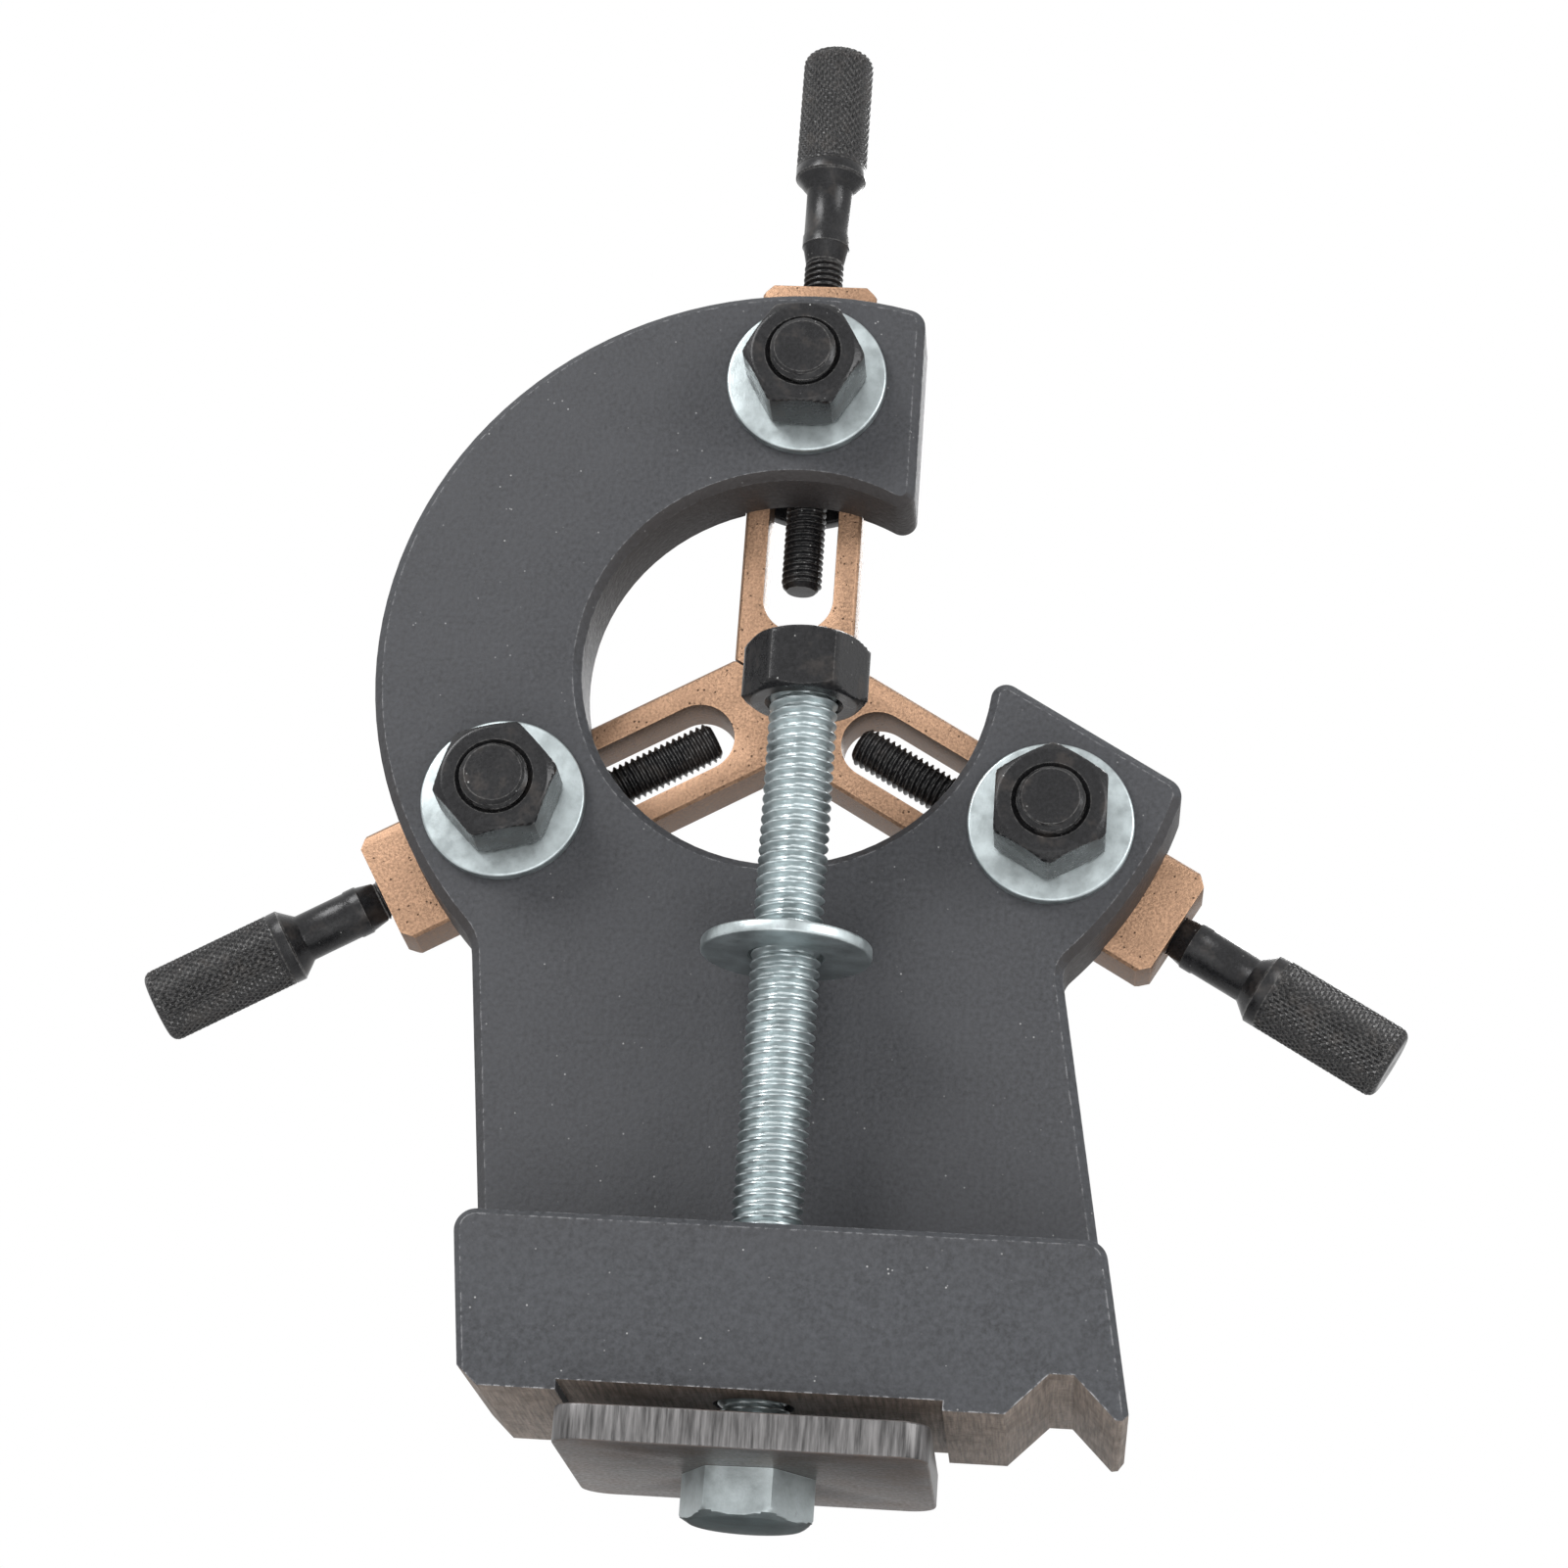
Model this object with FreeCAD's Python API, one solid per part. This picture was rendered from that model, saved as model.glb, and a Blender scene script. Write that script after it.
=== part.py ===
"""Fixed steady rest for a small lathe: C-shaped casting on a bed foot, three bronze fingers
with knurled adjusting screws, and a hold-down bolt with a clamp plate under the bed.

Millimetres. X runs across the bed, -Y is the nut side (front), +Z is up.
The pieces are built round the work axis and then lifted, so that the origin ends up on the
bed seat, straight below the work axis, in the plane of the casting's front face.
"""
import FreeCAD, Part
import math
import os

from FreeCAD import Vector

# ---------------------------------------------------------------- driving dimensions
# casting: C-shaped plate
centre_height = 92.0        # work axis above the bed seat
opening_radius = 24.7       # inside of the C
rim_radius = 49.7           # outside of the C
plate_thickness = 11.4
top_arm_side = 14.0         # cut of the upper arm, beside the top finger's axis
right_arm_side = 12.7       # cut of the right arm, above the right finger's axis
arm_outer_round = 2.4
arm_inner_round = 1.8
waist_drop = 37.0           # top of the straight sides, below the work axis
waist_left = 34.6
waist_right = 34.6
waist_left_round = 6.0
waist_right_round = 3.0
front_bevel = 1.0           # round the C's front face
rear_bevel = 1.6            # round the casting's back

# casting: foot
foot_height = 19.5
foot_front = 20.0           # in front of the plate's front face
seat_left = 28.1            # where the straight sides meet the seat
seat_right = 44.1
foot_top_round = 2.4
foot_front_bevel = 0.7      # round the foot's front face
foot_left_chamfer = 2.2
foot_right_chamfer = 0.8

# casting: underside, machined to the bed
seat_relief = 1.1           # depth of the shallow recess between the two flat seats
seat_relief_left = 17.4     # left of the work axis
seat_relief_right = 24.2
vee_centre = 36.7           # right of the work axis
vee_mouth = 11.8
vee_flat = 2.6              # flat at the top of the vee

# fingers
finger_count_angle = 120.0
finger_names = ("top", "right", "left")
finger_width = 14.4
finger_thickness = 6.8
finger_length = 55.0
finger_point_gap = 0.15     # points stop this far short of the work axis
finger_end_chamfer = 1.3
finger_edge_chamfer = 0.35
slot_width = 8.6
slot_end_wall = 8.0         # from the point to the inner end of the slot
slot_outer_margin = 0.6     # slot beyond the clamp bolt when the finger is right in
channel_depth = 2.4         # guide channel across the back of the ring
channel_side_gap = 0.15
slide_gap = 0.05            # between the finger's faces and what clamps it

# clamp bolts and their hardware, M8
clamp_radius = 37.4         # clamp bolt from the work axis
bolt_diameter = 8.0
bolt_end_chamfer = 0.6
bolt_hole_gap = 0.2         # radial
hex_across_flats = 13.0
hex_head_height = 5.3
nut_height = 7.5
nut_bore_gap = 0.05         # radial
clamp_bolt_projection = 1.3  # beyond the nut
washer_diameter = 19.6
washer_thickness = 1.5
washer_bore_gap = 0.3       # radial
rear_washer_diameter = 24.0
rear_washer_thickness = 2.0
nut_turn = {"top": 0.0, "right": 30.0, "left": 14.0}

# adjusting screws, M5
screw_diameter = 5.0
screw_running_gap = 0.05    # radial, in the clamp bolt's cross hole
screw_finger_gap = 0.08     # radial, in the finger's outer end
screw_thread_length = 45.4  # shoulder to tip
screw_tip_chamfer = 0.7
shoulder_diameter = 4.4
shoulder_taper = 2.4
neck_diameter = 5.8
neck_length = 7.6           # plain part after the taper
grip_flare = 1.7
grip_diameter = 9.0
grip_collar = 1.5           # plain band before the knurl
grip_length = 16.3          # knurled part with its rounded end
grip_end_chamfer = 1.0
shoulder_gap = {"top": 5.0, "right": 0.1, "left": 0.7}  # from the finger's outer end

# hold-down
hold_down_x = 3.3
hold_down_y = -10.5
hold_down_hole_gap = 0.5    # radial, in the foot
hold_down_length = 98.0     # bolt under its head
hold_down_projection = 0.7  # bolt end above the nut
hold_down_washer_height = 33.0  # washer above the foot's top face
hold_down_head_turn = -5.0
clamp_plate_drop = 2.6      # top face below the bed seat
clamp_plate_length = 40.0
clamp_plate_width = 34.0
clamp_plate_thickness = 4.0
clamp_plate_round = 3.5
clamp_plate_hole_gap = 0.5  # radial

# ---------------------------------------------------------------- worked-out sizes
seat_z = -centre_height
foot_top_z = seat_z + foot_height
bolt_radius = bolt_diameter / 2
screw_radius = screw_diameter / 2
channel_floor_y = plate_thickness - channel_depth
finger_front_y = channel_floor_y + slide_gap
finger_rear_y = finger_front_y + finger_thickness
screw_y = finger_front_y + finger_thickness / 2
rear_washer_y = finger_rear_y + slide_gap
slot_outer_end = clamp_radius + slot_width / 2 + slot_outer_margin
nut_front_y = -(washer_thickness + nut_height)
clamp_bolt_front_y = nut_front_y - clamp_bolt_projection
clamp_head_y = rear_washer_y + rear_washer_thickness
plate_under_z = seat_z - clamp_plate_drop - clamp_plate_thickness
hold_down_top_z = plate_under_z + hold_down_length
hold_down_nut_z = hold_down_top_z - hold_down_projection - nut_height

along_y = Vector(0, 1, 0)
along_z = Vector(0, 0, 1)


# ---------------------------------------------------------------- helpers
def prism_y(points, y_from, y_to):
    """Extrude an outline of (x, z) points along Y."""
    corners = [Vector(x, y_from, z) for x, z in points]
    face = Part.Face(Part.makePolygon(corners + corners[:1]))
    return face.extrude(Vector(0, y_to - y_from, 0))


def rod(radius, start, direction, length):
    return Part.makeCylinder(radius, length, start, direction)


def chamfered_rod(radius, chamfer, length):
    """Round bar along +Z from the origin, chamfered at its far end."""
    profile = [(0, 0), (radius, 0), (radius, length - chamfer), (radius - chamfer, length), (0, length)]
    return revolve_profile(profile)


def revolve_profile(points):
    """Turn an outline of (radius, height) points about Z."""
    corners = [Vector(r, 0, z) for r, z in points]
    face = Part.Face(Part.makePolygon(corners + corners[:1]))
    return face.revolve(Vector(0, 0, 0), along_z, 360)


def hexagon_wire(across_flats, turn, height):
    """Closed hexagon about Z, turned by an angle in degrees from having a corner on +X."""
    corner_radius = across_flats / 2 / math.cos(math.radians(30))
    corners = []
    for index in range(6):
        angle = math.radians(60 * index + turn)
        corners.append(Vector(corner_radius * math.cos(angle), corner_radius * math.sin(angle), height))
    return Part.makePolygon(corners + corners[:1])


def hexagon(height, bevel_both_ends):
    """Hexagonal block along +Z from the origin, its corners bevelled at the end faces."""
    block = Part.Face(hexagon_wire(hex_across_flats, 0, 0)).extrude(Vector(0, 0, height))
    corner_distance = hex_across_flats / math.cos(math.radians(30))
    fall = (corner_distance - hex_across_flats) / 2 * math.tan(math.radians(30))
    envelope = [hexagon_wire(corner_distance, 30, height - fall), hexagon_wire(hex_across_flats, 30, height)]
    if bevel_both_ends:
        envelope = [hexagon_wire(hex_across_flats, 30, 0), hexagon_wire(corner_distance, 30, fall)] + envelope
    else:
        envelope = [hexagon_wire(corner_distance, 30, 0)] + envelope
    return block.common(Part.makeLoft(envelope, True, True))


def ring(outer_radius, inner_radius, height):
    """Flat washer along +Z from the origin."""
    return revolve_profile([(inner_radius, 0), (outer_radius, 0), (outer_radius, height), (inner_radius, height)])


def toward_front(shape, front_distance):
    """Lay a shape built along +Z down so that it runs along -Y, starting at y = front_distance."""
    placed = shape.copy()
    placed.rotate(Vector(0, 0, 0), Vector(1, 0, 0), 90)
    placed.translate(Vector(0, front_distance, 0))
    return placed


def toward_back(shape, back_distance):
    """Lay a shape built along +Z down so that it runs along +Y, starting at y = back_distance."""
    placed = shape.copy()
    placed.rotate(Vector(0, 0, 0), Vector(1, 0, 0), -90)
    placed.translate(Vector(0, back_distance, 0))
    return placed


def station(shape, name):
    """Turn a shape built at the top station about the work axis to the named station."""
    placed = shape.copy()
    placed.rotate(Vector(0, 0, 0), along_y, finger_count_angle * finger_names.index(name))
    return placed


def edges_along(shape, direction, test):
    """Straight edges along a direction whose middle passes the test."""
    found = []
    for edge in shape.Edges:
        if not isinstance(edge.Curve, (Part.Line, Part.LineSegment)):
            continue
        heading = edge.tangentAt(edge.FirstParameter)
        middle = edge.valueAt((edge.FirstParameter + edge.LastParameter) / 2)
        if abs(abs(heading.dot(direction)) - 1) < 1e-6 and test(middle):
            found.append(edge)
    return found


# ---------------------------------------------------------------- casting
def mouth_outline():
    """Region between the two arms, as (x, z) points."""
    far = 2 * rim_radius
    slope = math.radians(30)

    def right_arm_z(x):
        return (right_arm_side - x * math.sin(slope)) / math.cos(slope)

    return [(top_arm_side, right_arm_z(top_arm_side)), (top_arm_side, far), (far, far), (far, right_arm_z(far))]


def straight_side(side, height):
    """Distance of the casting's straight side from the work axis at a given height."""
    at_waist, at_seat = (waist_left, seat_left) if side < 0 else (waist_right, seat_right)
    share = (-waist_drop - height) / (centre_height - waist_drop)
    return side * (at_waist + share * (at_seat - at_waist))


def lower_outline(top_z):
    """Front view of the casting below a height: straight sides, seats, relief and vee."""
    vee_left = vee_centre - vee_mouth / 2
    vee_right = vee_centre + vee_mouth / 2
    vee_depth = (vee_mouth - vee_flat) / 2
    left_corner_z = seat_z + foot_left_chamfer
    right_corner_z = seat_z + foot_right_chamfer
    return [
        (straight_side(-1, top_z), top_z),
        (straight_side(-1, left_corner_z), left_corner_z),
        (straight_side(-1, seat_z) + foot_left_chamfer, seat_z),
        (-seat_relief_left, seat_z),
        (-seat_relief_left, seat_z + seat_relief),
        (seat_relief_right, seat_z + seat_relief),
        (seat_relief_right, seat_z),
        (vee_left, seat_z),
        (vee_left + vee_depth, seat_z + vee_depth),
        (vee_right - vee_depth, seat_z + vee_depth),
        (vee_right, seat_z),
        (straight_side(1, seat_z) - foot_right_chamfer, seat_z),
        (straight_side(1, right_corner_z), right_corner_z),
        (straight_side(1, top_z), top_z),
    ]


def rim_edges(shape, face_y, test):
    """Edges of the outline lying in the plane y = face_y whose middle passes the test."""
    found = []
    for edge in shape.Edges:
        box = edge.BoundBox
        if abs(box.YMin - face_y) > 0.001 or abs(box.YMax - face_y) > 0.001:
            continue
        if test(edge.valueAt((edge.FirstParameter + edge.LastParameter) / 2)):
            found.append(edge)
    return found


def upright_body():
    """C-shaped ring and the straight-sided body below it, with rounded corners and rims."""
    disc = rod(rim_radius, Vector(0, 0, 0), along_y, plate_thickness)
    body = prism_y(lower_outline(-0.7 * rim_radius), 0, plate_thickness)
    plate = disc.fuse(body).removeSplitter()
    plate = plate.cut(rod(opening_radius, Vector(0, 0, 0), along_y, plate_thickness))
    plate = plate.cut(prism_y(mouth_outline(), 0, plate_thickness))

    def on_circle(point, radius):
        return abs(math.hypot(point.x, point.z) - radius) < 0.05

    def arm_tip(point, radius):
        return on_circle(point, radius) and point.x > top_arm_side / 2 and point.z > -waist_drop / 2

    rounds = [
        (arm_outer_round, lambda p: arm_tip(p, rim_radius)),
        (arm_inner_round, lambda p: arm_tip(p, opening_radius)),
        (waist_left_round, lambda p: on_circle(p, rim_radius) and p.x < 0 and p.z < -waist_drop / 2),
        (waist_right_round, lambda p: on_circle(p, rim_radius) and p.x > 0 and p.z < -waist_drop / 2),
    ]
    for radius, test in rounds:
        plate = plate.makeFillet(radius, edges_along(plate, along_y, test))
    front = rim_edges(plate, 0, lambda p: p.z > seat_z + foot_height / 2)
    plate = plate.makeChamfer(front_bevel, front)
    rear = rim_edges(plate, plate_thickness, lambda p: outside_rim(p) and not underneath(p))
    return plate.makeChamfer(rear_bevel, rear)


def outside_rim(point):
    return math.hypot(point.x, point.z) > (opening_radius + rim_radius) / 2


def underneath(point):
    """True on the machined underside, between the straight sides."""
    inside = straight_side(-1, point.z) + 0.01 < point.x < straight_side(1, point.z) - 0.01
    return inside and point.z < seat_z + foot_height / 2


def foot_block():
    """Front part of the foot, as wide as the casting's straight sides."""
    block = prism_y(lower_outline(foot_top_z), -foot_front, plate_thickness / 2)
    block = block.makeFillet(foot_top_round, edges_along(block, along_y, lambda p: abs(p.z - foot_top_z) < 0.01))
    return block.makeChamfer(foot_front_bevel, rim_edges(block, -foot_front, lambda p: not underneath(p)))


def frame_casting():
    casting = upright_body().fuse(foot_block()).removeSplitter()
    channel = Part.makeBox(finger_width + 2 * channel_side_gap, channel_depth + 1, 2 * rim_radius,
                           Vector(-finger_width / 2 - channel_side_gap, channel_floor_y, opening_radius / 2))
    bolt_hole = rod(bolt_radius + bolt_hole_gap, Vector(0, -1, clamp_radius), along_y, plate_thickness + 2)
    for name in finger_names:
        casting = casting.cut(station(channel, name))
        casting = casting.cut(station(bolt_hole, name))
    hole_start = Vector(hold_down_x, hold_down_y, seat_z - 1)
    return casting.cut(rod(bolt_radius + hold_down_hole_gap, hole_start, along_z, foot_height + 2))


# ---------------------------------------------------------------- fingers and their screws
def finger():
    """Bronze finger at the top station: 120 degree point, long slot, bored outer end."""
    half = finger_width / 2
    point_height = half / math.tan(math.radians(60))
    start = finger_point_gap
    end = start + finger_length
    outline = [(0, start), (half, start + point_height), (half, end), (-half, end), (-half, start + point_height)]
    bar = prism_y(outline, finger_front_y, finger_rear_y)
    end_corners = edges_along(bar, along_y, lambda p: abs(p.z - end) < 0.01)
    bar = bar.makeChamfer(finger_end_chamfer, end_corners)
    long_edges = edges_along(bar, along_z, lambda p: True)
    bar = bar.makeChamfer(finger_edge_chamfer, long_edges)
    inner_centre = start + slot_end_wall + slot_width / 2
    outer_centre = start + slot_outer_end - slot_width / 2
    slot = Part.makeBox(slot_width, finger_thickness, outer_centre - inner_centre,
                        Vector(-slot_width / 2, finger_front_y, inner_centre))
    for centre in (inner_centre, outer_centre):
        slot = slot.fuse(rod(slot_width / 2, Vector(0, finger_front_y, centre), along_y, finger_thickness))
    bore = rod(screw_radius + screw_finger_gap, Vector(0, screw_y, outer_centre), along_z, finger_length)
    return bar.cut(slot).cut(bore)


def adjusting_screw(gap):
    """One turned piece: thread, tapered shoulder, plain neck, flare and grip."""
    shoulder_z = finger_point_gap + finger_length + gap
    neck_radius = neck_diameter / 2
    grip_radius = grip_diameter / 2
    heights = [0]
    for step in (screw_thread_length, shoulder_taper, neck_length, grip_flare, grip_collar + grip_length):
        heights.append(heights[-1] + step)
    end = heights[5]
    body = revolve_profile([
        (0, 0),
        (screw_radius - screw_tip_chamfer, 0),
        (screw_radius, screw_tip_chamfer),
        (screw_radius, heights[1]),
        (max(shoulder_diameter, screw_diameter + 2 * screw_tip_chamfer) / 2, heights[1]),
        (neck_radius, heights[2]),
        (neck_radius, heights[3]),
        (grip_radius, heights[4]),
        (grip_radius, end - grip_end_chamfer),
        (grip_radius - grip_end_chamfer, end),
        (0, end),
    ])
    body.translate(Vector(0, screw_y, shoulder_z - screw_thread_length))
    return body


# ---------------------------------------------------------------- clamping hardware
def clamp_bolt():
    """Hex bolt at the top station, head at the back, cross-bored for the adjusting screw."""
    shank_length = clamp_head_y - clamp_bolt_front_y
    shank = toward_front(chamfered_rod(bolt_radius, bolt_end_chamfer, shank_length), clamp_head_y)
    bolt = shank.fuse(toward_back(hexagon(hex_head_height, False), clamp_head_y))
    bolt.translate(Vector(0, 0, clamp_radius))
    cross_start = Vector(0, screw_y, clamp_radius - bolt_diameter)
    return bolt.cut(rod(screw_radius + screw_running_gap, cross_start, along_z, 2 * bolt_diameter))


def nut():
    return hexagon(nut_height, True).cut(rod(bolt_radius + nut_bore_gap, Vector(0, 0, -1), along_z, nut_height + 2))


def at_clamp(shape):
    placed = shape.copy()
    placed.translate(Vector(0, 0, clamp_radius))
    return placed


def clamp_nut(name):
    turned = nut()
    turned.rotate(Vector(0, 0, 0), along_z, nut_turn[name])
    return at_clamp(toward_front(turned, -washer_thickness))


def clamp_washer():
    washer = ring(washer_diameter / 2, bolt_radius + washer_bore_gap, washer_thickness)
    return at_clamp(toward_front(washer, 0))


def clamp_rear_washer():
    washer = ring(rear_washer_diameter / 2, bolt_radius + bolt_hole_gap, rear_washer_thickness)
    return at_clamp(toward_back(washer, rear_washer_y))


# ---------------------------------------------------------------- hold-down
def at_hold_down(shape, height):
    placed = shape.copy()
    placed.translate(Vector(hold_down_x, hold_down_y, height))
    return placed


def hold_down_bolt():
    shank = chamfered_rod(bolt_radius, bolt_end_chamfer, hold_down_length)
    head = hexagon(hex_head_height, False)
    head.rotate(Vector(0, 0, 0), Vector(1, 0, 0), 180)
    head.rotate(Vector(0, 0, 0), along_z, hold_down_head_turn)
    return at_hold_down(shank.fuse(head), plate_under_z)


def hold_down_plate():
    blank = Part.makeBox(clamp_plate_length, clamp_plate_width, clamp_plate_thickness,
                         Vector(-clamp_plate_length / 2, -clamp_plate_width / 2, 0))
    blank = blank.makeFillet(clamp_plate_round, edges_along(blank, along_z, lambda p: True))
    hole = rod(bolt_radius + clamp_plate_hole_gap, Vector(0, 0, -1), along_z, clamp_plate_thickness + 2)
    return at_hold_down(blank.cut(hole), plate_under_z)


def hold_down_washer():
    washer = ring(washer_diameter / 2, bolt_radius + washer_bore_gap, washer_thickness)
    return at_hold_down(washer, foot_top_z + hold_down_washer_height)


def hold_down_nut():
    return at_hold_down(nut(), hold_down_nut_z)


# ---------------------------------------------------------------- the parts
def all_parts():
    parts = {"frame_casting": frame_casting()}
    for name in finger_names:
        parts["finger_" + name] = station(finger(), name)
        parts["adjusting_screw_" + name] = station(adjusting_screw(shoulder_gap[name]), name)
        parts["clamp_bolt_" + name] = station(clamp_bolt(), name)
        parts["clamp_rear_washer_" + name] = station(clamp_rear_washer(), name)
        parts["clamp_washer_" + name] = station(clamp_washer(), name)
        parts["clamp_nut_" + name] = station(clamp_nut(name), name)
    parts["hold_down_bolt"] = hold_down_bolt()
    parts["hold_down_plate"] = hold_down_plate()
    parts["hold_down_washer"] = hold_down_washer()
    parts["hold_down_nut"] = hold_down_nut()
    return parts


os.makedirs("parts", exist_ok=True)
for node, solid in all_parts().items():
    solid.translate(Vector(0, 0, centre_height))
    solid.exportStep("parts/" + node + ".step")
    box = solid.BoundBox
    print(node, len(solid.Solids), solid.isValid(), round(solid.Volume, 1),
          [round(v, 2) for v in (box.XMin, box.YMin, box.ZMin, box.XMax, box.YMax, box.ZMax)])
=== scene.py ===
"""Finish and fine detail of a small lathe's fixed steady rest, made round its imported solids.

Metres. X runs across the bed, -Y is the nut side, +Z is up, and the origin is on the bed seat.
"""

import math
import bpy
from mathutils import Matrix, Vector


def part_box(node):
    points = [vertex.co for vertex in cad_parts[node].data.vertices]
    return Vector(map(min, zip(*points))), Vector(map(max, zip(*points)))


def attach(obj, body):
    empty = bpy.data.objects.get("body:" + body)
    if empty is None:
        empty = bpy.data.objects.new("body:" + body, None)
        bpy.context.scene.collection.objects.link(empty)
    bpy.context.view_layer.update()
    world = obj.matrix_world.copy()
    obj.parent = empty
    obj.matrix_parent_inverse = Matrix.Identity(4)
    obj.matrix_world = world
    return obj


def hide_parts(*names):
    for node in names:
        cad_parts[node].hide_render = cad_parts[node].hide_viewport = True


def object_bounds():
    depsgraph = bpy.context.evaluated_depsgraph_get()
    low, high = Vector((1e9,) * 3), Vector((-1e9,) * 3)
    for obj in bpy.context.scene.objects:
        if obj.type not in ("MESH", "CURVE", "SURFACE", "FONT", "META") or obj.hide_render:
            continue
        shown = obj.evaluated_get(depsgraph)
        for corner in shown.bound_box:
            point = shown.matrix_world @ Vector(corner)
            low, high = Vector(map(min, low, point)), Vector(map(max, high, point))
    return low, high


bl_info = {
    "name": "Steady rest finish",
    "version": (1, 0, 0),
    "blender": (4, 5, 0),
    "location": "View3D > Sidebar > Steady rest",
    "description": "Threads, knurls, worn edges and surface finishes of a lathe steady rest",
    "category": "Object",
}

import bmesh
import bpy
import numpy as np
from mathutils import Euler, Matrix, Vector

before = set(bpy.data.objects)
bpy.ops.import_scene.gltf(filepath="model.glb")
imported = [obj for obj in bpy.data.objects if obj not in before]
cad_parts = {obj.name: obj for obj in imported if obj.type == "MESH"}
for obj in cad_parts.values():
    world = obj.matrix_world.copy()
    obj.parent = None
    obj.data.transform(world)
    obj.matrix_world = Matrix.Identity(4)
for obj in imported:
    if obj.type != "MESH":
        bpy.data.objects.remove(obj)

MM = 0.001
TURN = 2 * math.pi
ROOT_FLAT = 0.22            # share of a thread's half pitch that is flat at the root
FLANK_SHARE = 0.66          # share taken by the flank
KNURL_FLANK = 0.62          # share of a groove's half width that slopes
BOLT_RADIUS = 4.0 * MM
HEX_ACROSS_FLATS = 13.0 * MM
HEX_HEAD_HEIGHT = 5.3 * MM
FACE_SHARE = 0.96           # round end face of a hexagon, as a share of its across flats
BEVEL_SLOPE = math.tan(math.radians(30))
SCREW_RADIUS = 2.5 * MM
GRIP_RADIUS = 4.5 * MM
NECK_RADIUS = 2.9 * MM
GRIP_LENGTH = 17.8 * MM
SHOULDER_FROM_END = 29.5 * MM
WASHER_BORE, WASHER_RADIUS = 4.3 * MM, 9.8 * MM
REAR_WASHER_BORE, REAR_WASHER_RADIUS = 4.2 * MM, 12 * MM
NUT_TURNS = {"top": 0.0, "right": 30.0, "left": 14.0}       # how far round each nut stands, in degrees
LAMPS = (                   # name, offset from the centre, diameter, watts
    ("lamp_left", (-0.50, -0.55, 0.50), 0.45, 5.2),
    ("lamp_right", (0.60, -0.45, 0.20), 0.40, 2.6),
    ("lamp_low", (0.05, -0.60, -0.35), 0.40, 2.2),
    ("lamp_back", (0.15, 0.65, 0.45), 0.45, 3.0),
)
CAMERA_PLACE = (0.03936, -0.43464, -0.07781)
CAMERA_TURN = (109.588, -3.920, 3.686)
CAMERA_LENS = 89.94         # millimetres, for a sensor 36 mm wide
STATIONS = {"top": 0.0, "right": 120.0, "left": 240.0}
CAD_BOX = [list(corner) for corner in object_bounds()]


def middle(node):
    """Middle of a node's box."""
    low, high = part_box(node)
    return (low + high) / 2


CLAMP_TOP = middle("clamp_washer_top")
CLAMP_LEFT = middle("clamp_washer_left")
CLAMP_RIGHT = middle("clamp_washer_right")
WORK_AXIS_Z = (CLAMP_TOP.z + CLAMP_LEFT.z + CLAMP_RIGHT.z) / 3
CLAMP_RADIUS = CLAMP_TOP.z - WORK_AXIS_Z
SCREW_Y = middle("finger_top").y
HOLD_DOWN = middle("hold_down_washer")


# ---------------------------------------------------------------- sizes and colours
def length(name, description, default_mm):
    return bpy.props.FloatProperty(
        name=name, description=description, default=default_mm * MM, min=0.0, unit="LENGTH", precision=5
    )


def colour(name, description, default):
    return bpy.props.FloatVectorProperty(
        name=name, description=description, default=default, size=3, min=0.0, max=1.0, subtype="COLOR"
    )


class SteadyRestSizes(bpy.types.PropertyGroup):
    """Sizes of the detail that the solids leave out."""

    bolt_pitch: length("Bolt pitch", "Thread pitch of the clamp and hold-down bolts", 1.25)
    screw_pitch: length("Screw pitch", "Thread pitch of the adjusting screws", 0.8)
    knurl_pitch: length("Knurl pitch", "Spacing of the knurl's grooves along the grip", 1.05)
    knurl_depth: length("Knurl depth", "Depth of the knurl's grooves", 0.30)
    edge_wear: length("Edge softness", "Width of the rounding on cast and machined edges", 0.35)
    knurl_count: bpy.props.IntProperty(
        name="Knurl count", description="Grooves of one hand round the grip", default=28, min=12, max=60
    )


class SteadyRestColours(bpy.types.PropertyGroup):
    """Colours of the finishes."""

    casting: colour("Casting", "As-cast surface of the body", (0.046, 0.048, 0.053))
    machined: colour("Machined seat", "Bare machined iron under the foot", (0.19, 0.155, 0.13))
    bronze: colour("Bronze", "Faces of the fingers", (0.430, 0.262, 0.165))
    # In the pits this is real tarnish; on the finger sides it is also painted shade.
    bronze_dark: colour("Bronze tarnish", "Pits and sides of the fingers", (0.050, 0.028, 0.018))
    black: colour("Black oxide", "Screws, nuts and clamp bolts", (0.012, 0.012, 0.013))
    zinc: colour("Zinc", "Washers and hold-down bolt", (0.47, 0.525, 0.535))
    steel: colour("Bare steel", "Clamp plate", (0.17, 0.165, 0.165))


# ---------------------------------------------------------------- surfaces
def lattice(rows, columns, wrap_rows):
    """Quads of a grid of rows and columns of points whose columns always wrap round."""
    r = np.arange(rows if wrap_rows else rows - 1)[:, None]
    c = np.arange(columns)[None, :]
    r_next, c_next = (r + 1) % rows, (c + 1) % columns
    corners = [r * columns + c, r * columns + c_next, r_next * columns + c_next, r_next * columns + c]
    return np.stack([np.broadcast_to(k, (r.shape[0], columns)) for k in corners], -1).reshape(-1, 4)


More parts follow.
